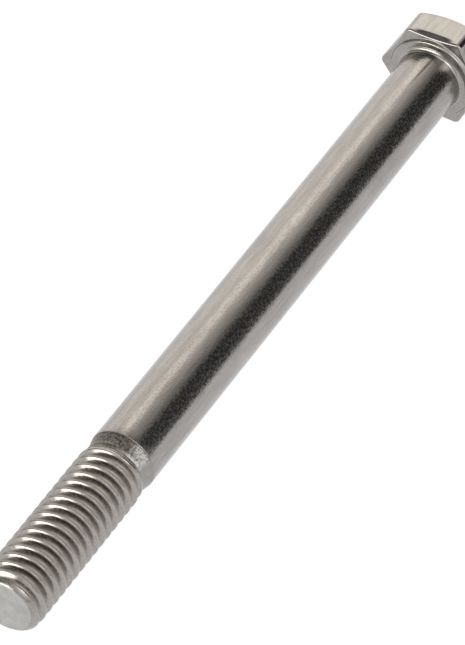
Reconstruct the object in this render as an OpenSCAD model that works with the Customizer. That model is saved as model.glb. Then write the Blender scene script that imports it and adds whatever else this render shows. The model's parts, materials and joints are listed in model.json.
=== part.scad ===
// Hex bolt, 3/8-16 UNC x 4 1/2 in, partially threaded, stainless steel.
// One forged and thread-rolled piece, modelled as its six zones, which meet face to face.
// Frame: the axis lies along X with the head towards +X and the point towards -X. The origin is
// the centre of the bearing face. Two wrench flats are level, one facing +Z and one facing -Z.

/* [Head] */
// Width across the wrench flats
head_across_flats = 14.15; // [13.8:0.05:17]
// Head height, from the bearing face to the top
head_height = 5.95; // [5:0.05:8]
// How far the flat circle on top stays inside the wrench flats
head_top_margin = 0.775; // [0.4:0.025:2]
// Slope of the top chamfer, away from the top face, in degrees
head_chamfer_angle = 30; // [15:1:40]
// How much each corner of the hexagon is rounded off, measured along the radius
corner_round = 0.15; // [0.05:0.05:0.4]
// Height of the bevel round the corners on the underside
under_bevel = 0.35; // [0.1:0.05:0.8]
// Radial width of that bevel
under_bevel_width = 0.2; // [0.05:0.05:0.4]

/* [Washer face] */
// How far the flat bearing face stays inside the wrench flats
washer_face_margin = 0.825; // [0.4:0.025:1.2]
// Height of the washer face above the hexagon's underside
washer_face_height = 0.5; // [0.2:0.05:0.8]
// Extra radius at the foot of the washer face
washer_face_flare = 0.3; // [0.05:0.05:0.5]

/* [Shank] */
// Length under the head, from the bearing face to the end of the point
length = 113.8; // [60:0.1:160]
// Diameter of the plain shank
shank_d = 9.42; // [9:0.01:10]
// Radius of the fillet under the head, unless the washer face leaves less room for it
fillet_r = 0.7; // [0.3:0.05:1]
// Least width of the flat ring outside that fillet
bearing_ring = 0.1; // [0.05:0.05:0.2]

/* [Thread] */
// Thread pitch
pitch = 1.5875; // [1.25:0.0125:2]
// Major diameter, over the crests
thread_d = 9.48; // [9:0.01:10]
// Radial depth of the thread as a share of the pitch
depth_share = 0.586; // [0.45:0.002:0.62]
// Width of the crest as a share of the pitch
crest_share = 0.19; // [0.12:0.01:0.22]
// Length of the threaded zone, from the neck to the point
thread_length = 25.9; // [15:0.1:45]
// Angle round the axis of the first crest where the thread starts, in degrees
thread_start_angle = 92; // [0:1:359]

/* [Neck] */
// Length of the neck between the shank and the thread
neck_length = 2.2; // [1.7:0.05:4]
// How far the neck, the blank that the thread is rolled on, lies below the crests
neck_step = 0.36; // [0.2:0.02:0.6]
// Length of the shoulder from the shank down to the neck
shoulder_length = 1.6; // [0.6:0.05:1.6]

/* [Point] */
// How far the rim of the flat end face lies below the crests
point_step = 0.89; // [0.6:0.01:1.6]
// Length of the chamfer on the point, which also cuts down the last threads
point_chamfer = 1.7; // [1.1:0.05:2.5]
// Length of the plain end beyond the last thread
point_length = 0.6; // [0.3:0.05:1]

/* [Hidden] */
$fn = 96;

forged_steel = [0.73, 0.71, 0.68];
rolled_steel = [0.6, 0.57, 0.53];

// Stations along X, all at or below zero from the bearing face to the end of the point
x_thread_end = -length + point_length;
x_thread_start = x_thread_end + thread_length;
x_shank_end = x_thread_start + neck_length;

// Hexagon
flat_r = head_across_flats / 2;
corner_r = head_across_flats / sqrt(3);
rounded_corner_r = corner_r - corner_round;
head_top_r = flat_r - head_top_margin;
hex_height = head_height - washer_face_height;
chamfer_drop = (rounded_corner_r - head_top_r) * tan(head_chamfer_angle);

// Washer face, and the fillet that spreads the shank into it
washer_face_r = flat_r - washer_face_margin;
shank_r = shank_d / 2;
fillet = min(fillet_r, washer_face_r - bearing_ring - shank_r);
root_of_head_r = shank_r + fillet;

// Radii of the crests, of the neck and of the rim of the end face
crest_r = thread_d / 2;
neck_r = crest_r - neck_step;
point_face_r = crest_r - point_step;

// Thread form: one pitch holds a crest, a flank, a root and a flank
flank_angle = 30;
thread_depth = depth_share * pitch;
root_r = crest_r - thread_depth;
flank_share = depth_share * tan(flank_angle);
form_marks = [0, crest_share, crest_share + flank_share, 1 - flank_share];
mark_count = len(form_marks);
sides = 36;
// The thread grows out of the neck and dies away on the point over these lengths
run_out = 1.4 * pitch;
run_in = 0.8 * pitch;
// No mark comes closer to either end of the threaded zone than this
end_gap = 0.1 * pitch;

// Turns a profile drawn with x across and the radius up into a solid about the X axis
module spin_about_x() {
    rotate([0, 90, 0]) rotate_extrude() mirror([1, 0]) rotate(90) children();
}

// Outer limits of the hexagon: rounded corners, the bevel below and the chamfer above
module head_envelope() {
    spin_about_x() polygon([
        [washer_face_height, 0],
        [washer_face_height, rounded_corner_r - under_bevel_width],
        [washer_face_height + under_bevel, rounded_corner_r],
        [head_height - chamfer_drop, rounded_corner_r],
        [head_height, head_top_r],
        [head_height, 0]
    ]);
}

module hex_head() {
    color(forged_steel) intersection() {
        translate([washer_face_height, 0, 0]) rotate([0, 90, 0]) rotate(90)
            cylinder(h = hex_height, r = corner_r, $fn = 6);
        head_envelope();
    }
}

// The raised ring that bears on the work, round the root of the shank
module washer_face() {
    color(forged_steel) spin_about_x() polygon([
        [0, root_of_head_r],
        [0, washer_face_r],
        [washer_face_height, washer_face_r + washer_face_flare],
        [washer_face_height, root_of_head_r]
    ]);
}

// The plain shank, with the fillet that spreads it into the bearing face. Its root runs through
// the washer face up to the hexagon.
module shank() {
    color(forged_steel) spin_about_x() difference() {
        polygon([
            [x_shank_end, 0],
            [x_shank_end, shank_r],
            [-fillet, shank_r],
            [-fillet, root_of_head_r],
            [washer_face_height, root_of_head_r],
            [washer_face_height, 0]
        ]);
        translate([-fillet, root_of_head_r]) circle(r = fillet);
    }
}

// The shoulder comes down from the shank to the diameter that the thread is rolled on
module neck() {
    color(forged_steel) spin_about_x() polygon([
        [x_thread_start, 0],
        [x_thread_start, neck_r],
        [x_shank_end - shoulder_length, neck_r],
        [x_shank_end, shank_r],
        [x_shank_end, 0]
    ]);
}

// Height of the thread form above the root, from 0 to 1, at a place t counted in pitches
function form_height(t) =
    let (u = t - floor(t))
    u < crest_share ? 1 :
    u < crest_share + flank_share ? 1 - (u - crest_share) / flank_share :
    u < 1 - flank_share ? 0 :
    (u - 1 + flank_share) / flank_share;

// Radius of the chamfer cone at x, which the thread and the point both stay inside
function cone_r(x) =
    point_face_r + (x + length) / point_chamfer * point_step;

// Radius of the blank at x, before the thread is rolled on it
function blank_r(x) = min(neck_r, cone_r(x));

// Radius of the threaded surface at x, for a place t in the form
function thread_r(x, t) =
    let (
        fade = min(1, (x_thread_start - x) / run_out, (x - x_thread_end) / run_in),
        full = root_r + thread_depth * form_height(t)
    )
    min(cone_r(x), blank_r(x) + (full - blank_r(x)) * fade);

// Place in the form at x on side j. The thread is right-handed: one turn moves it one pitch
// along +X.
function place(x, j) = (x_thread_start - x) / pitch + j / sides + thread_start_angle / 360;

// The marks of the form along side j, from the neck to the point, as [number, x, radius]
function side_marks(j) = [
    for (n = [floor(place(x_thread_start, j)):ceil(place(x_thread_end, j))])
    for (m = [0:mark_count - 1])
    let (
        t = n + form_marks[m],
        x = x_thread_start - (t - place(x_thread_start, j)) * pitch
    )
    if (x < x_thread_start - end_gap && x > x_thread_end + end_gap)
    [n * mark_count + m, x, thread_r(x, t)]
];

function on_side(x, r, j) = [x, r * cos(360 * j / sides), r * sin(360 * j / sides)];

// Side j as points: its place on the ring at the neck, its marks, its place on the ring at the
// point
function side_points(marks, j) = [
    on_side(x_thread_start, blank_r(x_thread_start), j),
    for (mark = marks) on_side(mark[1], mark[2], j),
    on_side(x_thread_end, cone_r(x_thread_end), j)
];

// Triangles between neighbouring sides a and b. Marks of the same number make two triangles, and
// a mark that the other side doesn't have makes one.
function strip(a, a0, b, b0, turn, i = 0, k = 0) =
    i > len(a) && k > len(b) ? [] :
    let (
        next_a = i < len(a) ? a[i][0] : i == len(a) ? 1e6 : 1e9,
        next_b = k < len(b) ? b[k][0] + turn : k == len(b) ? 1e6 : 1e9,
        step_a = next_a <= next_b ? 1 : 0,
        step_b = next_b <= next_a ? 1 : 0
    )
    concat(
        step_b == 1 ? [[a0 + i, b0 + k, b0 + k + 1]] : [],
        step_a == 1 ? [[a0 + i, b0 + k + step_b, a0 + i + 1]] : [],
        strip(a, a0, b, b0, turn, i + step_a, k + step_b)
    );

module thread() {
    marks = [for (j = [0:sides - 1]) side_marks(j)];
    starts = [for (j = 0, sum = 0; j < sides; sum = sum + len(marks[j]) + 2, j = j + 1) sum];
    ends = [for (j = [0:sides - 1]) starts[j] + len(marks[j]) + 1];
    neck_centre = ends[sides - 1] + 1;
    point_centre = neck_centre + 1;
    points = [
        for (j = [0:sides - 1]) each side_points(marks[j], j),
        [x_thread_start, 0, 0],
        [x_thread_end, 0, 0]
    ];
    // Side 0 comes round again one turn later, so its marks then count one pitch more
    faces = [
        for (j = [0:sides - 1])
        let (k = (j + 1) % sides)
        each concat(
            strip(marks[j], starts[j], marks[k], starts[k], k == 0 ? mark_count : 0),
            [[neck_centre, starts[k], starts[j]], [point_centre, ends[j], ends[k]]]
        )
    ];
    color(rolled_steel) polyhedron(points = points, faces = faces);
}

module point() {
    color(forged_steel) spin_about_x() polygon([
        [-length, 0],
        [-length, point_face_r],
        [x_thread_end, cone_r(x_thread_end)],
        [x_thread_end, 0]
    ]);
}

hex_head();
washer_face();
shank();
neck();
thread();
point();
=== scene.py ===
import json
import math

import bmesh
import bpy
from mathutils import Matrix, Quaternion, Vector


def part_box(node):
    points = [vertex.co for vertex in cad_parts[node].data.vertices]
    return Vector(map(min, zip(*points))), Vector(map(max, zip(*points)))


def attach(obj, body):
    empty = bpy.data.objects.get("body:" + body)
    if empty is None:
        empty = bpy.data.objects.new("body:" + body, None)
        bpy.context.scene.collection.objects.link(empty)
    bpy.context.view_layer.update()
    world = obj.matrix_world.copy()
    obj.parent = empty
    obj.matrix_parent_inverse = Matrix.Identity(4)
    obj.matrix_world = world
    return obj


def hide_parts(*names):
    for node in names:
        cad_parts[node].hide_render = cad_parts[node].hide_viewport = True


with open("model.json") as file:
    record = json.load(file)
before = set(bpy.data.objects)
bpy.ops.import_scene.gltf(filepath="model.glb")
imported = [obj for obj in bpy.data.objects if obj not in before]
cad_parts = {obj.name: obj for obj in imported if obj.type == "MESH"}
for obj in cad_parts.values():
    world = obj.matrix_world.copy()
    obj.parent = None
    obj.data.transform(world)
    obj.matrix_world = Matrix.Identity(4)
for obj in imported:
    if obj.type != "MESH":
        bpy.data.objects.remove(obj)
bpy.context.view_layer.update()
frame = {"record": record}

# Hex bolt, 3/8-16 UNC x 4 1/2 in, stainless steel: one forging, drawn as its six zones.
# The axis lies along X, with the head towards +X and the point towards -X. The origin is the
# centre of the bearing face. Sizes are in millimetres, and angles round the axis are in degrees,
# from +Y towards +Z.

MM = 0.001
TURN = 360

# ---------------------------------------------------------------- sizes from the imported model


def box_mm(node):
    """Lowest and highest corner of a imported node, in millimetres."""
    low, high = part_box(node)
    return low / MM, high / MM


def mount_radius(name):
    """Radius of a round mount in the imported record."""
    for mount in frame["record"]["mounts"]:
        if mount["name"] == name:
            return mount["dims"]["r_mm"]


hex_low, hex_high = box_mm("hex_head")
washer_low, washer_high = box_mm("washer_face")
shank_low, shank_high = box_mm("shank")
thread_low, thread_high = box_mm("thread")
point_low, point_high = box_mm("point")

FLAT_R = hex_high.z  # from the axis to a wrench flat
CORNER_R = hex_high.y  # to the round of a corner
HEAD_TOP_X = hex_high.x
HEX_UNDERSIDE_X = hex_low.x
WASHER_FOOT_R = washer_high.z
SHANK_R = mount_radius("shank")
FILLET_OUTER_R = shank_high.z
SHANK_END_X = shank_low.x
THREAD_START_X = thread_high.x
THREAD_END_X = thread_low.x
POINT_END_X = point_low.x
CREST_R = thread_high.y

# ---------------------------------------------------------------- sizes of the finer shapes

# Head
HEAD_TOP_R = FLAT_R - 0.775  # the flat circle on top
TOP_CHAMFER = 30  # degrees
CHAMFER_SOFTNESS = 0.85  # how widely the chamfer blends into the flats and corners
TOP_RIM_ROUND = 0.12
CORNER_ROUND = 1.0  # radius of the hexagon's upright edges
LOWER_ROUND = 0.3  # radius of the hexagon's lower edge
ROLL_OVER = 0.2  # how far the foot of a flat rolls in, at the flat's middle
ROLL_OVER_HEIGHT = 0.62
ROLL_OVER_CURVE = 1.25  # 1 is a straight bevel, and more is hollower

# Washer face
WASHER_FACE_R = FLAT_R - 0.825
WASHER_RIM_ROUND = 0.26
WASHER_FOOT_ROUND = 0.12
WASHER_RIM_OUTSET = 0.05  # how far the round rim stands out past the flat ring's nominal edge
WASHER_FOOT_INSET = 0.04
WASHER_LAP = 0.4  # how far the ring runs in under the shank's fillet, out of sight

# Shank
FLARE = 0.1  # how much the shank swells towards its fillet
FLARE_LENGTH = 2.6
FLARE_BLEND = 0.05
SEAM_ANGLE = 101  # where the bar's seam meets the fillet
SEAM_START = 0.6  # how far under the bearing face that is
SEAM_SLANT = 0.69  # degrees that it turns in each millimetre
SEAM_END = -9.5
SEAM_HALF_WIDTH = 0.26

# Thread
PITCH = 1.5875
CREST_SHARE = 0.2  # of the pitch
THREAD_DEPTH = 0.92
FLANK_SLOPE = 1 / math.tan(math.radians(30))
THREAD_START_ANGLE = 92
ROOT_ROUND = 0.42
CREST_ROUND = 0.12
CREST_GROOVE = 0.06  # the seam that rolling leaves along the middle of a crest
CREST_GROOVE_WIDTH = 0.1

# Neck, between the shank and the first thread
NECK_R = CREST_R - 0.36
SHOULDER_ROUND = 0.05
NECK_SLOPE_END = 1.6  # length of the cone from the shank down to the neck
NECK_CURVE = 1.15  # 1 is a straight cone, and more is hollower
RUN_OUT_START = 1.3  # where the first ripple of the thread begins, from the shank's end
RUN_OUT = 2.7

# Point
FACE_R = CREST_R - 0.89
POINT_CHAMFER = 1.6
POINT_CURVE = 2.1  # 1 is a straight cone, and more is rounder
POINT_BLEND = 0.06
FACE_RIM_ROUND = 0.2

SIDES = 144  # facets round the axis
THREAD_MARKS = 28  # facets along the axis in each pitch
SHANK_RINGS = 52

# Finish
STREAK_SHARE = 0.4
SEAM_STRENGTH = 0.85
SATIN_ROUGHNESS = 0.17
ROUGHER_BY = 0.2  # the cone above the thread and the cropped end

# Table and camera
TABLE_REACH = 3000
CAMERA_HEADING = 59.72  # degrees from +Y towards +X
CAMERA_DOWN = 43.68
CAMERA_ROLL = -1.34
CAMERA_AIM = Vector((-56.3, 0.1, 0))
CAMERA_DISTANCE = 553.2
LENS = 234.4

# ---------------------------------------------------------------- meshes


def smooth_step(low, high, value):
    """0 below low and 1 above high, with an easy curve between them."""
    t = min(1, max(0, (value - low) / (high - low)))
    return t * t * (3 - 2 * t)


def soft_min(a, b, width):
    """The smaller of a and b, rounded where they cross."""
    h = max(width - abs(a - b), 0) / width
    return min(a, b) - h * h * width / 4


def soft_max(a, b, width):
    """The larger of a and b, rounded where they cross."""
    return -soft_min(-a, -b, width)


def arc(centre, radius, first, last, steps):
    """Points along an arc in the (x, radius) plane, angles in degrees."""
    angles = [first + (last - first) * i / steps for i in range(steps + 1)]
    return [
        (
            centre[0] + radius * math.cos(math.radians(a)),
            centre[1] + radius * math.sin(math.radians(a)),
        )
        for a in angles
    ]


def at(x, radius, angle):
    """The point at x, that far from the axis, at that angle round it, in metres."""
    a = math.radians(angle)
    return (x * MM, radius * math.cos(a) * MM, radius * math.sin(a) * MM)


def close_ends(mesh):
    """Fills the two open ends of a tube, so that the piece is a closed solid."""
    mesh.normal_update()
    ends = [e for e in mesh.edges if e.is_boundary]
    bmesh.ops.holes_fill(mesh, edges=ends)


def finish_piece(name, mesh, material, node):
    """Makes the piece from its mesh, shaded smooth but for its flat ends, and puts it in the
    frame."""
    bmesh.ops.remove_doubles(mesh, verts=mesh.verts, dist=1e-4 * MM)
    close_ends(mesh)
    bmesh.ops.recalc_face_normals(mesh, faces=mesh.faces)
    for face in mesh.faces:
        face.smooth = len(face.verts) <= 4
    data = bpy.data.meshes.new(name)
    mesh.to_mesh(data)
    mesh.free()
    piece = bpy.data.objects.new(name, data)
    bpy.context.scene.collection.objects.link(piece)
    piece.data.materials.append(material)
    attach(piece, "root")
    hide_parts(node)
    return piece


def grid_mesh(columns):
    """A mesh with one column of points after another, each column as long as the first."""
    mesh = bmesh.new()
    made = [[mesh.verts.new(point) for point in column] for column in columns]
    for j, column in enumerate(made):
        after = made[(j + 1) % len(made)]
        for i in range(len(column) - 1):
            mesh.faces.new((column[i], column[i + 1], after[i + 1], after[i]))
    return mesh


def spun_mesh(profile):
    """The profile, a list of (x, radius), spun round the axis."""
    angles = [TURN * j / SIDES for j in range(SIDES)]
    return grid_mesh([[at(x, radius, angle) for x, radius in profile] for angle in angles])


# Head ----------------------------------------------------------------


def hexagon_outline(steps_flat=16, steps_corner=8):
    """The hexagon seen along the axis, as (point, outward direction, place along the flat), in
    (y, z). The place runs from -1 to 1 along a flat, and a corner's round has a place of 1."""
    centre_r = (FLAT_R - CORNER_ROUND) / math.cos(math.radians(30))
    half_flat = centre_r * math.sin(math.radians(30))
    outline = []
    for k in range(6):
        flat_angle = 90 + 60 * k
        out = Vector((math.cos(math.radians(flat_angle)), math.sin(math.radians(flat_angle))))
        along = Vector((-out.y, out.x))
        for i in range(steps_flat):
            place = math.sin(math.pi * ((i + 0.5) / steps_flat - 0.5))
            p = out * FLAT_R + along * half_flat * place
            outline.append((p, out, place))
        corner = flat_angle + 30
        centre = Vector((math.cos(math.radians(corner)), math.sin(math.radians(corner)))) * centre_r
        for i in range(steps_corner + 1):
            a = math.radians(flat_angle + 60 * i / steps_corner)
            turned = Vector((math.cos(a), math.sin(a)))
            outline.append((centre + turned * CORNER_ROUND, turned, 1))
    return outline


def head_column(p, out, place):
    """One line of points over the hexagon, from the middle of its underside to that of its top."""
    slope = math.tan(math.radians(TOP_CHAMFER))
    chamfer_x = HEAD_TOP_X - (p.length - HEAD_TOP_R) * slope
    roll = ROLL_OVER * (1 - place * place)
    outward = p.normalized()
    column = []

    def add(x, q):
        column.append((x * MM, q.x * MM, q.y * MM))

    for share in (0, 0.4, 0.8, 0.97):
        add(HEX_UNDERSIDE_X, outward * WASHER_FOOT_R * share)
    under_edge = p - out * (roll + LOWER_ROUND)
    for share in (0.3, 0.7, 0.92):
        add(HEX_UNDERSIDE_X, (outward * WASHER_FOOT_R).lerp(under_edge, share))
    for i in range(7):
        a = math.pi / 2 * i / 6
        inset = roll + LOWER_ROUND * (1 - math.sin(a))
        add(HEX_UNDERSIDE_X + LOWER_ROUND * (1 - math.cos(a)), p - out * inset)
    for i in range(1, 9):
        t = i / 8
        x = HEX_UNDERSIDE_X + LOWER_ROUND + ROLL_OVER_HEIGHT * t
        add(x, p - out * roll * (1 - t) ** ROLL_OVER_CURVE)
    wall_foot = HEX_UNDERSIDE_X + LOWER_ROUND + ROLL_OVER_HEIGHT
    wall_top = chamfer_x - CHAMFER_SOFTNESS * slope
    for t in (0.3, 0.65, 1):
        add(wall_foot + (wall_top - wall_foot) * t, p)
    blend_top = min(chamfer_x + CHAMFER_SOFTNESS * slope, HEAD_TOP_X - TOP_RIM_ROUND)
    for i in range(1, 13):
        x = wall_top + (blend_top - wall_top) * i / 12
        cone = HEAD_TOP_R + (HEAD_TOP_X - x) / slope
        add(x, outward * soft_min(p.length, cone, CHAMFER_SOFTNESS))
    rim = TOP_RIM_ROUND * slope
    for t in (0.5, 1):
        x = blend_top + (HEAD_TOP_X - rim - blend_top) * t
        cone = HEAD_TOP_R + (HEAD_TOP_X - x) / slope
        add(x, outward * soft_min(p.length, cone, CHAMFER_SOFTNESS))
    add(HEAD_TOP_X - rim * 0.3, outward * (HEAD_TOP_R + TOP_RIM_ROUND * 0.2))
    add(HEAD_TOP_X, outward * (HEAD_TOP_R - TOP_RIM_ROUND))
    for share in (0.92, 0.6, 0.3, 0):
        add(HEAD_TOP_X, outward * HEAD_TOP_R * share)
    return column


def make_hex_head(steel):
    """The hexagon: flats that roll in at their lower edge, round corners and a turned top."""
    mesh = grid_mesh([head_column(*place) for place in hexagon_outline()])
    return finish_piece("Hex_Head", mesh, steel, "hex_head")


def make_washer_face(steel):
    """The raised ring that bears on the work, with a round rim and a soft foot."""
    foot_x = HEX_UNDERSIDE_X
    rim = WASHER_RIM_ROUND
    foot = WASHER_FOOT_ROUND
    hidden_r = FILLET_OUTER_R - WASHER_LAP
    profile = [(foot_x, hidden_r), (0, hidden_r), (0, FILLET_OUTER_R + 0.1)]
    profile += [(0, WASHER_FACE_R - 2 * rim)]
    profile += arc((rim, WASHER_FACE_R + WASHER_RIM_OUTSET - rim), rim, 180, 96, 9)
    profile += arc((foot_x - foot, WASHER_FOOT_R - WASHER_FOOT_INSET), foot, -84, 0, 6)
    mesh = spun_mesh(profile)
    return finish_piece("Washer_Face", mesh, steel, "washer_face")


# Shank ----------------------------------------------------------------


def flared(point):
    """A point of the shank's outline, lifted onto the gentle flare towards the fillet."""
    x, radius = point
    t = max(0, 1 + x / FLARE_LENGTH)
    lifted = soft_max(radius, SHANK_R + FLARE * t * t, FLARE_BLEND) - FLARE_BLEND / 4
    return x, min(FILLET_OUTER_R, max(radius, lifted))


def make_shank(steel):
    """The plain shank, with its fillet under the head."""
    fillet = FILLET_OUTER_R - SHANK_R
    profile = arc((-fillet, FILLET_OUTER_R), fillet, 0, -90, 14)
    profile += [(-fillet - (FLARE_LENGTH - fillet) * i / 8, SHANK_R) for i in range(1, 9)]
    length = -FLARE_LENGTH - SHANK_END_X
    profile += [
        (-FLARE_LENGTH - length * i / SHANK_RINGS, SHANK_R) for i in range(1, SHANK_RINGS)
    ]
    profile = [(HEX_UNDERSIDE_X, FILLET_OUTER_R)] + [flared(point) for point in profile]
    profile += [(SHANK_END_X + 2 * SHOULDER_ROUND, SHANK_R)]
    profile += [(SHANK_END_X, SHANK_R - SHOULDER_ROUND * 0.3)]
    mesh = spun_mesh(profile)
    return finish_piece("Shank", mesh, steel, "shank")


# Neck, thread and point ----------------------------------------------------------------


def thread_form(turns):
    """Height over the root at a place in the form, counted in pitches from a crest's head side."""
    u = (turns - CREST_SHARE / 2 + 0.5) % 1 - 0.5
    away = abs(u) * PITCH
    half_crest = CREST_SHARE * PITCH / 2
    flank = THREAD_DEPTH - (away - half_crest) * FLANK_SLOPE
    height = soft_max(0, flank, ROOT_ROUND)
    height = soft_min(height, THREAD_DEPTH, CREST_ROUND)
    groove = CREST_GROOVE * max(0, 1 - (away / CREST_GROOVE_WIDTH) ** 2)
    return height - groove


def ripple_form(turns):
    """The same place on the low, round ripples that the thread starts from."""
    return THREAD_DEPTH * (0.5 + 0.5 * math.cos(2 * math.pi * (turns - CREST_SHARE / 2)))


def neck_radius(x):
    """The blank before rolling: the shank's end, the cone below it and the neck."""
    down = (SHANK_END_X - x) / NECK_SLOPE_END
    return NECK_R + (SHANK_R - NECK_R) * max(0, 1 - down) ** NECK_CURVE


def point_radius(x):
    """The rounded chamfer on the point."""
    t = max(0, 1 - (x - POINT_END_X) / POINT_CHAMFER)
    return CREST_R - (CREST_R - FACE_R) * t**POINT_CURVE


def rolled_radius(x, angle):
    """Radius of the surface from the shank's end to the face of the point."""
    turns = (THREAD_START_X - x) / PITCH + (angle + THREAD_START_ANGLE) / TURN
    fade = smooth_step(0, RUN_OUT, SHANK_END_X - RUN_OUT_START - x)
    blank = neck_radius(x)
    full = CREST_R - THREAD_DEPTH + thread_form(turns)
    ripple = CREST_R - THREAD_DEPTH + ripple_form(turns)
    rolled = blank + (ripple + (full - ripple) * fade - blank) * fade
    return soft_min(rolled, point_radius(x), POINT_BLEND)


def helix_mesh(first_x, last_x, face=()):
    """The rolled surface between two stations, with its points lined up along the thread.
    Points past a station are moved onto it, where they merge. face lists the further points, as
    (x, radius), of a face that closes the lower end."""
    marks = THREAD_MARKS
    first_turn = math.floor(THREAD_START_ANGLE / TURN + (THREAD_START_X - first_x) / PITCH)
    last_turn = math.ceil(1 + THREAD_START_ANGLE / TURN + (THREAD_START_X - last_x) / PITCH)
    count = (last_turn - first_turn) * marks + 1
    mesh = bmesh.new()
    columns = []
    for j in range(SIDES):
        angle = TURN * j / SIDES
        column = []
        for i in range(count):
            turns = first_turn + i / marks - (angle + THREAD_START_ANGLE) / TURN
            x = min(first_x, max(last_x, THREAD_START_X - turns * PITCH))
            column.append(mesh.verts.new(at(x, rolled_radius(x, angle), angle)))
        column += [mesh.verts.new(at(x, radius, angle)) for x, radius in face]
        columns.append(column)
    for j, column in enumerate(columns):
        after = columns[(j + 1) % SIDES]
        back = marks if j == SIDES - 1 else 0
        for i in range(len(column) - 1):
            in_face = i >= count - 1
            near = i if in_face else max(0, i - back)
            far = i + 1 if in_face else max(0, i + 1 - back)
            if back and i + 1 == count - 1:
                far = count - 1
            corners = [column[i], column[i + 1], after[far], after[near]]
            corners = [v for k, v in enumerate(corners) if v not in corners[:k]]
            if len(corners) > 2:
                mesh.faces.new(corners)
    return mesh


def make_neck(steel):
    """The shoulder under the shank, the blank below it and the thread's first ripple."""
    mesh = helix_mesh(SHANK_END_X, THREAD_START_X)
    return finish_piece("Neck", mesh, steel, "neck")


def make_thread(steel):
    """The rolled thread."""
    mesh = helix_mesh(THREAD_START_X, THREAD_END_X)
    return finish_piece("Thread", mesh, steel, "thread")


def make_point(steel):
    """The end of the point: the last of the chamfer, a small rim and the flat face."""
    rim = FACE_RIM_ROUND
    face = [
        (POINT_END_X + rim * 0.35, FACE_R - rim * 0.1),
        (POINT_END_X + rim * 0.08, FACE_R - rim * 0.5),
    ]
    face += [(POINT_END_X, FACE_R - rim * s) for s in (1, 2)]
    face += [(POINT_END_X, FACE_R * s) for s in (0.75, 0.5, 0.25, 0)]
    mesh = helix_mesh(THREAD_END_X, POINT_END_X + rim * 0.7, face)
    return finish_piece("Point", mesh, steel, "point")


# ---------------------------------------------------------------- materials

EASED = {"interpolation_type": "SMOOTHSTEP"}
TIMES = {"operation": "MULTIPLY"}
PLUS = {"operation": "ADD"}
LAID_OVER = {"data_type": "RGBA", "output": 2}


def srgb(code):
    """A colour from its sRGB hex code, in Blender's linear values."""
    values = [int(code[i : i + 2], 16) / 255 for i in (1, 3, 5)]
    linear = [v / 12.92 if v <= 0.04045 else ((v + 0.055) / 1.055) ** 2.4 for v in values]
    return (*linear, 1)


def per_metre(size_mm):
    """The scale of a pattern whose features are that many millimetres wide."""
    return 1 / (size_mm * MM)


def span(value, low, high, at_low=0.0, at_high=1.0):
    """What a range node takes: it gives at_low where the value is low, at_high where it's high."""
    return {"Value": value, "From Min": low, "From Max": high, "To Min": at_low, "To Max": at_high}


def add_node(tree, kind, inputs=None, output=0, stops=(), **settings):
    """Adds a node with its settings, its inputs' values or links and, on a colour ramp, its stops
    as (position, hex colour). Gives one of its outputs."""
    made = tree.nodes.new(kind)
    for name, value in settings.items():
        setattr(made, name, value)
    for socket, value in (inputs or {}).items():
        if isinstance(value, bpy.types.NodeSocket):
            tree.links.new(value, made.inputs[socket])
        else:
            made.inputs[socket].default_value = value
    for i, (position, code) in enumerate(stops):
        made.color_ramp.elements[i].position = position
        made.color_ramp.elements[i].color = srgb(code)
    return made.outputs[output] if made.outputs else None


def start_metal(name):
    """A new metal material: itself, its node tree, its shader and the object's coordinates."""
    material = bpy.data.materials.new(name)
    material.use_nodes = True
    tree = material.node_tree
    shader = tree.nodes["Principled BSDF"]
    shader.inputs["Metallic"].default_value = 1
    place = add_node(tree, "ShaderNodeTexCoord", output="Object")
    return material, tree, shader, place


def steel_pattern(tree, place, size_mm, detail=2, stretch=1):
    """Irregular marks of that size in the steel, drawn out along the bolt by the stretch."""
    drawn = add_node(tree, "ShaderNodeMapping", {"Vector": place, "Scale": (1 / stretch, 1, 1)})
    return add_node(
        tree, "ShaderNodeTexNoise", {"Vector": drawn, "Scale": per_metre(size_mm), "Detail": detail}
    )


def angle_round_bolt(tree, place):
    """The angle round the axis, in radians, from +Y towards +Z."""
    _, y, z = add_node(tree, "ShaderNodeSeparateXYZ", {"Vector": place}).node.outputs
    return add_node(tree, "ShaderNodeMath", {0: z, 1: y}, operation="ARCTAN2")


def distance_from_axis(tree, place):
    """The distance from the bolt's axis, in metres."""
    square_on = add_node(
        tree, "ShaderNodeVectorMath", {0: place, 1: (0, 1, 1)}, operation="MULTIPLY"
    )
    return add_node(tree, "ShaderNodeVectorMath", {0: square_on}, output="Value", operation="LENGTH")


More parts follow.
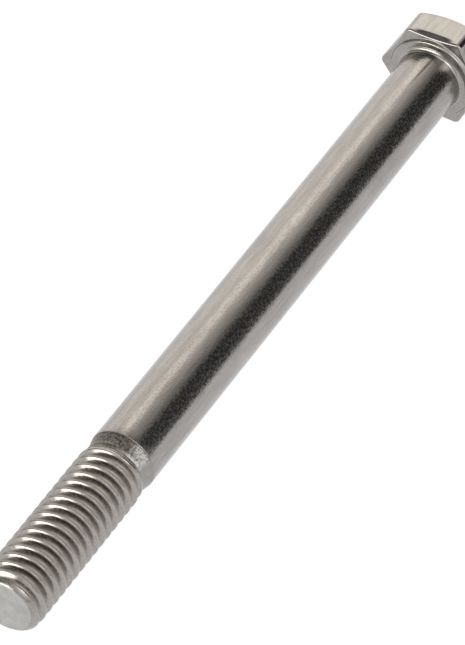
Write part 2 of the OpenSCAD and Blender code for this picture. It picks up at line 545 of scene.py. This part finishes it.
def seam_share(tree, along, angle, breaks):
    """How much of the brown seam shows, where the drawn bar folded a little below the head."""
    x_mm = add_node(tree, "ShaderNodeMath", {0: along, 1: 1 / MM}, **TIMES)
    from_start = add_node(tree, "ShaderNodeMath", {0: x_mm, 1: SEAM_START}, **PLUS)
    slant = add_node(tree, "ShaderNodeMath", {0: from_start, 1: math.radians(SEAM_SLANT)}, **TIMES)
    turned = add_node(tree, "ShaderNodeMath", {0: angle, 1: slant}, operation="SUBTRACT")
    off = add_node(
        tree, "ShaderNodeMath", {0: turned, 1: math.radians(SEAM_ANGLE)}, operation="SUBTRACT"
    )
    aside = add_node(tree, "ShaderNodeMath", {0: off}, operation="ABSOLUTE")
    aside_mm = add_node(tree, "ShaderNodeMath", {0: aside, 1: SHANK_R}, **TIMES)
    thin = add_node(tree, "ShaderNodeMapRange", span(aside_mm, 0.07, SEAM_HALF_WIDTH, 1, 0), **EASED)
    fading = add_node(tree, "ShaderNodeMapRange", span(x_mm, SEAM_END, -2.5), **EASED)
    below_head = add_node(tree, "ShaderNodeMapRange", span(x_mm, -0.3, 0, 1, 0), **EASED)
    broken = add_node(tree, "ShaderNodeMapRange", span(breaks, 0.2, 0.42), **EASED)
    length = add_node(tree, "ShaderNodeMath", {0: fading, 1: below_head}, **TIMES)
    line = add_node(tree, "ShaderNodeMath", {0: thin, 1: length}, **TIMES)
    return add_node(tree, "ShaderNodeMath", {0: line, 1: broken}, **TIMES)


def cone_share(tree, along):
    """1 on the cone between the shank and the thread, and 0 elsewhere."""
    below_shank = span(along, (SHANK_END_X - 0.05) * MM, (SHANK_END_X + 0.02) * MM, 1, 0)
    above_thread = span(along, (SHANK_END_X - 3) * MM, (SHANK_END_X - 1.7) * MM)
    top = add_node(tree, "ShaderNodeMapRange", below_shank, **EASED)
    foot = add_node(tree, "ShaderNodeMapRange", above_thread, **EASED)
    return add_node(tree, "ShaderNodeMath", {0: top, 1: foot}, **TIMES)


def drawn_colour(tree, cloud, streak):
    """The satin grey of drawn bar: cloudy, with fine lines along the bolt."""
    body = add_node(
        tree, "ShaderNodeValToRGB", {"Fac": cloud}, stops=((0.3, "#918E8A"), (0.7, "#A09D99"))
    )
    lined = add_node(
        tree, "ShaderNodeValToRGB", {"Fac": streak}, stops=((0.35, "#8A8682"), (0.65, "#A5A29F"))
    )
    return add_node(tree, "ShaderNodeMix", {0: STREAK_SHARE, 6: body, 7: lined}, **LAID_OVER)


def cone_colour(tree, along, angle, grain):
    """The cone above the thread: a dull dark grey that is partly painted shade, with a painted
    highlight of bright glints on one side and a dark line at its top.
    """
    blank = add_node(
        tree, "ShaderNodeValToRGB", {"Fac": grain}, stops=((0.35, "#544F49"), (0.62, "#8B8680"))
    )
    # Painted highlight: a light, speckled grey painted into the colour where glints would show.
    painted_glints = add_node(
        tree, "ShaderNodeValToRGB", {"Fac": grain}, stops=((0.35, "#85837F"), (0.55, "#C6C5C2"))
    )
    # The painted glints lie between 112 and 164 degrees round the axis, on the near side of the
    # cone.
    start = span(angle, math.radians(112), math.radians(128))
    end = span(angle, math.radians(158), math.radians(164), 1, 0)
    starts = add_node(tree, "ShaderNodeMapRange", start, **EASED)
    ends = add_node(tree, "ShaderNodeMapRange", end, **EASED)
    glint_patch = add_node(tree, "ShaderNodeMath", {0: starts, 1: ends}, **TIMES)
    cone = add_node(tree, "ShaderNodeMix", {0: glint_patch, 6: blank, 7: painted_glints}, **LAID_OVER)
    top = span(along, (SHANK_END_X - 0.3) * MM, (SHANK_END_X - 0.08) * MM, 0, 0.6)
    lip = add_node(tree, "ShaderNodeMapRange", top, **EASED)
    shade = add_node(
        tree, "ShaderNodeValToRGB", {"Fac": grain}, stops=((0.3, "#3A3733"), (0.7, "#4A4641"))
    )
    return add_node(tree, "ShaderNodeMix", {0: lip, 6: cone, 7: shade}, **LAID_OVER)


def forged_steel():
    """Stainless steel, headed from drawn bar and pickled: a satin grey with fine streaks along the
    bolt and a grain that sparkles where it reflects the dark of the room. The head is smoother, the
    cone above the thread is rougher and darker, its dark grey partly painted shade with a painted
    highlight of glints, and the cropped end of the point is brighter. The real grain is too fine to
    show, so it is drawn about three times as coarse."""
    material, tree, shader, place = start_metal("Forged_Stainless_Steel")
    along, _, _ = add_node(tree, "ShaderNodeSeparateXYZ", {"Vector": place}).node.outputs
    angle = angle_round_bolt(tree, place)
    cloud = steel_pattern(tree, place, 3.5, 3, 2)
    streak = steel_pattern(tree, place, 0.4, 3, 9)
    grain = steel_pattern(tree, place, 0.33, 3)
    cone = cone_share(tree, along)
    at_end = span(along, (POINT_END_X + 0.06) * MM, (POINT_END_X + 0.02) * MM)
    end_face = add_node(tree, "ShaderNodeMapRange", at_end, **EASED)
    below_fillet = span(along, -2.2 * MM, -0.9 * MM, 1, 0)
    on_shank = add_node(tree, "ShaderNodeMapRange", below_fillet, **EASED)

    # Painted shade: the cone's dark grey, with its glints and top line, is left off the lower near
    # side, beyond 148 to 158 degrees round the axis either way, where the floor lights the cone. The
    # bar's grey stays there.
    either_way = add_node(tree, "ShaderNodeMath", {0: angle}, operation="ABSOLUTE")
    shaded_sides = span(either_way, math.radians(148), math.radians(158), 1, 0)
    dull_shaded_cone = add_node(
        tree, "ShaderNodeMath",
        {0: cone, 1: add_node(tree, "ShaderNodeMapRange", shaded_sides, **EASED)}, **TIMES
    )
    bar = drawn_colour(tree, cloud, streak)
    blank = cone_colour(tree, along, angle, grain)
    colour = add_node(tree, "ShaderNodeMix", {0: dull_shaded_cone, 6: bar, 7: blank}, **LAID_OVER)
    cropped = add_node(
        tree, "ShaderNodeValToRGB", {"Fac": steel_pattern(tree, place, 1.1, 4)},
        stops=((0.3, "#A4A3A0"), (0.7, "#B4B3B0")),
    )
    colour = add_node(tree, "ShaderNodeMix", {0: end_face, 6: colour, 7: cropped}, **LAID_OVER)
    brown = add_node(
        tree, "ShaderNodeValToRGB", {"Fac": grain}, stops=((0.3, "#4E4339"), (0.7, "#63574C"))
    )
    seam = add_node(
        tree, "ShaderNodeMath", {0: seam_share(tree, along, angle, cloud), 1: SEAM_STRENGTH}, **TIMES
    )
    colour = add_node(tree, "ShaderNodeMix", {0: seam, 6: colour, 7: brown}, **LAID_OVER)
    tree.links.new(colour, shader.inputs["Base Color"])

    grained = add_node(tree, "ShaderNodeMapRange", span(grain, 0.36, 0.66, 0, 0.12), **EASED)
    uneven = add_node(tree, "ShaderNodeMath", {0: grained, 1: on_shank}, **TIMES)
    satin = add_node(tree, "ShaderNodeMath", {0: uneven, 1: SATIN_ROUGHNESS}, **PLUS)
    rough_parts = add_node(tree, "ShaderNodeMath", {0: cone, 1: end_face}, **PLUS)
    dull = add_node(tree, "ShaderNodeMath", {0: rough_parts, 1: ROUGHER_BY}, **TIMES)
    tree.links.new(
        add_node(tree, "ShaderNodeMath", {0: satin, 1: dull}, **PLUS), shader.inputs["Roughness"]
    )
    shank_grain = add_node(tree, "ShaderNodeMath", {0: grain, 1: on_shank}, **TIMES)
    shank_streak = add_node(tree, "ShaderNodeMath", {0: streak, 1: on_shank}, **TIMES)
    pits = steel_pattern(tree, place, 0.3, 3)
    pitted = add_node(tree, "ShaderNodeMath", {0: cone, 1: pits}, **TIMES)
    normal = add_node(
        tree, "ShaderNodeBump", {"Height": shank_grain, "Strength": 0.5, "Distance": 0.03 * MM}
    )
    normal = add_node(
        tree, "ShaderNodeBump",
        {"Height": shank_streak, "Normal": normal, "Strength": 0.3, "Distance": 0.008 * MM},
    )
    normal = add_node(
        tree, "ShaderNodeBump",
        {"Height": pitted, "Normal": normal, "Strength": 0.6, "Distance": 0.05 * MM},
    )
    tree.links.new(normal, shader.inputs["Normal"])
    return material


def rolled_steel():
    """The same steel, burnished by the thread rolls: bright on the crests, duller and a little
    brown towards the roots. Its grain is drawn coarser than the real one, so that it shows."""
    material, tree, shader, place = start_metal("Rolled_Stainless_Steel")
    radius = distance_from_axis(tree, place)
    grain = steel_pattern(tree, place, 0.35, 3)
    root = (CREST_R - 0.8) * MM
    browned = span(radius, root, (CREST_R - 0.12) * MM)
    height = add_node(tree, "ShaderNodeMapRange", browned, **EASED)
    crests = add_node(
        tree, "ShaderNodeValToRGB", {"Fac": grain}, stops=((0.3, "#97938E"), (0.7, "#A5A19C"))
    )
    roots = add_node(
        tree, "ShaderNodeValToRGB", {"Fac": grain}, stops=((0.3, "#8C857C"), (0.7, "#9E9891"))
    )
    colour = add_node(tree, "ShaderNodeMix", {0: height, 6: roots, 7: crests}, **LAID_OVER)
    tree.links.new(colour, shader.inputs["Base Color"])
    burnished = add_node(tree, "ShaderNodeMapRange", span(grain, 0.36, 0.66, 0.12, 0.2), **EASED)
    dulled = span(radius, root, (CREST_R - 0.35) * MM, 0.24, 0)
    dull = add_node(tree, "ShaderNodeMapRange", dulled, **EASED)
    tree.links.new(
        add_node(tree, "ShaderNodeMath", {0: burnished, 1: dull}, **PLUS), shader.inputs["Roughness"]
    )
    normal = add_node(
        tree, "ShaderNodeBump", {"Height": grain, "Strength": 0.2, "Distance": 0.01 * MM}
    )
    tree.links.new(normal, shader.inputs["Normal"])
    return material


# ---------------------------------------------------------------- floor, light and camera


def make_floor():
    """A lit white table top. The bolt rests on a wrench flat's lower edge and on its last threads,
    so in the bolt's frame the table rises a little towards the point."""
    head_rest = Vector((HEX_UNDERSIDE_X, 0, -FLAT_R))
    thread_rest = Vector((POINT_END_X + POINT_CHAMFER, 0, -CREST_R))
    middle = (head_rest + thread_rest) / 2
    along = (thread_rest - head_rest).normalized() * TABLE_REACH
    across = Vector((0, TABLE_REACH, 0))
    corners = [middle - along - across, middle + along - across]
    corners += [middle + along + across, middle - along + across]
    data = bpy.data.meshes.new("Floor")
    data.from_pydata([corner * MM for corner in corners], [], [(0, 1, 2, 3)])
    floor = bpy.data.objects.new("Floor", data)
    bpy.context.scene.collection.objects.link(floor)
    material = bpy.data.materials.new("Lit_White_Table")
    material.use_nodes = True
    shader = material.node_tree.nodes["Principled BSDF"]
    shader.inputs["Base Color"].default_value = srgb("#787878")
    shader.inputs["Roughness"].default_value = 0.9
    shader.inputs["Specular IOR Level"].default_value = 0
    shader.inputs["Emission Color"].default_value = srgb("#EFEFF1")
    shader.inputs["Emission Strength"].default_value = 1.05
    data.materials.append(material)


def add_soft_box(tree, glow, heading, elevation, full, dark, colour):
    """Adds a round soft box to the glow of the room. It stands at that heading, in degrees from +Y
    towards +X, and elevation. It glows fully out to one angle from its middle and ends at the
    other."""
    h, e = math.radians(heading), math.radians(elevation)
    middle = Vector((math.sin(h) * math.cos(e), math.cos(h) * math.cos(e), math.sin(e)))
    place = add_node(tree, "ShaderNodeTexCoord", output="Generated")
    facing = add_node(
        tree, "ShaderNodeVectorMath", {0: place, 1: middle}, output="Value", operation="DOT_PRODUCT"
    )
    edge = span(facing, math.cos(math.radians(dark)), math.cos(math.radians(full)))
    share = add_node(tree, "ShaderNodeMapRange", edge, **EASED)
    return add_node(
        tree, "ShaderNodeMix", {0: share, 6: glow, 7: (*colour, 1)}, blend_type="ADD", **LAID_OVER
    )


def back_soft_box(tree):
    """The dark room, with one wide soft box behind the bolt that fades as it climbs overhead."""
    place = add_node(tree, "ShaderNodeTexCoord", output="Generated")
    x, y, z = add_node(tree, "ShaderNodeSeparateXYZ", {"Vector": place}).node.outputs
    climb = add_node(tree, "ShaderNodeMath", {0: z, 1: y}, operation="ARCTAN2")
    fading = span(climb, math.radians(126), math.radians(66))
    fall = add_node(tree, "ShaderNodeMapRange", fading)
    reach = add_node(tree, "ShaderNodeMapRange", span(x, 0.35, 0.6), **EASED)
    share = add_node(tree, "ShaderNodeMath", {0: fall, 1: reach}, **TIMES)
    room = add_node(tree, "ShaderNodeMapRange", span(x, 0.1, 0.52, 0.3, 0.04), **EASED)
    return add_node(
        tree, "ShaderNodeMix", {0: share, 6: room, 7: (1.42, 1.345, 1.27, 1)}, **LAID_OVER
    )


def make_studio():
    """A wide soft box behind the bolt and above it, with small round ones, in a dark room."""
    world = bpy.data.worlds.new("Studio")
    bpy.context.scene.world = world
    world.use_nodes = True
    tree = world.node_tree
    tree.nodes.clear()
    glow = back_soft_box(tree)
    # Beyond the point: the wide highlights on the thread's flanks, and the lines along sharp edges
    glow = add_soft_box(tree, glow, -66, 9, 11, 20, (4.6, 4.4, 4.1))
    glow = add_soft_box(tree, glow, -78, 27, 6, 16, (1.5, 1.44, 1.34))
    glow = add_soft_box(tree, glow, -94, 5, 8, 28, (0.45, 0.44, 0.42))
    glow = add_soft_box(tree, glow, -48, 2, 3, 14, (1.5, 1.45, 1.35))
    # Behind the bolt, low: the shaded side of the fillet
    glow = add_soft_box(tree, glow, 5, 22, 14, 38, (0.42, 0.41, 0.38))
    # In front of the bolt: the fillet, the crests and the neck on the near side
    glow = add_soft_box(tree, glow, -150, 44, 16, 50, (1.1, 1.07, 1.04))
    glow = add_soft_box(tree, glow, -137, 37, 5, 14, (3.2, 3.15, 3.1))
    glow = add_soft_box(tree, glow, 175, 8, 8, 34, (0.65, 0.64, 0.64))
    # Overhead: the flat tops of the crests
    glow = add_soft_box(tree, glow, -105, 72, 6, 22, (0.9, 0.88, 0.85))
    # Beyond the head: the head's side of each crest
    glow = add_soft_box(tree, glow, 92, 2, 10, 30, (1.9, 1.85, 1.8))
    # The middle of the wide soft box: the head's upper flat
    glow = add_soft_box(tree, glow, 60, 44, 3, 14, (0.6, 0.57, 0.52))
    seen_directly = add_node(tree, "ShaderNodeLightPath", output="Is Camera Ray")
    room = add_node(
        tree, "ShaderNodeMix", {0: seen_directly, 6: glow, 7: (1.0, 1.0, 1.0, 1)}, **LAID_OVER
    )
    light = add_node(tree, "ShaderNodeBackground", {"Color": room})
    add_node(tree, "ShaderNodeOutputWorld", {"Surface": light})


def make_camera():
    """A long lens that looks down along the bolt from beyond its point."""
    heading, down = math.radians(CAMERA_HEADING), math.radians(CAMERA_DOWN)
    ahead = Vector((math.sin(heading), math.cos(heading), 0)) * math.cos(down)
    ahead.z = -math.sin(down)
    data = bpy.data.cameras.new("Camera")
    data.lens = LENS
    data.sensor_width = 36
    data.clip_start = 0.01
    data.clip_end = 20
    camera = bpy.data.objects.new("Camera", data)
    bpy.context.scene.collection.objects.link(camera)
    camera.location = (CAMERA_AIM - ahead * CAMERA_DISTANCE) * MM
    camera.rotation_mode = "QUATERNION"
    roll = Quaternion((0, 0, 1), math.radians(CAMERA_ROLL))
    camera.rotation_quaternion = ahead.to_track_quat("-Z", "Y") @ roll
    bpy.context.scene.camera = camera


def set_film():
    """Plain colours, as a studio camera gives them."""
    settings = bpy.context.scene.view_settings
    settings.view_transform = "Standard"
    settings.look = "None"


forged = forged_steel()
rolled = rolled_steel()
make_hex_head(forged)
make_washer_face(forged)
make_shank(forged)
make_neck(forged)
make_thread(rolled)
make_point(forged)
make_floor()
make_studio()
make_camera()
set_film()
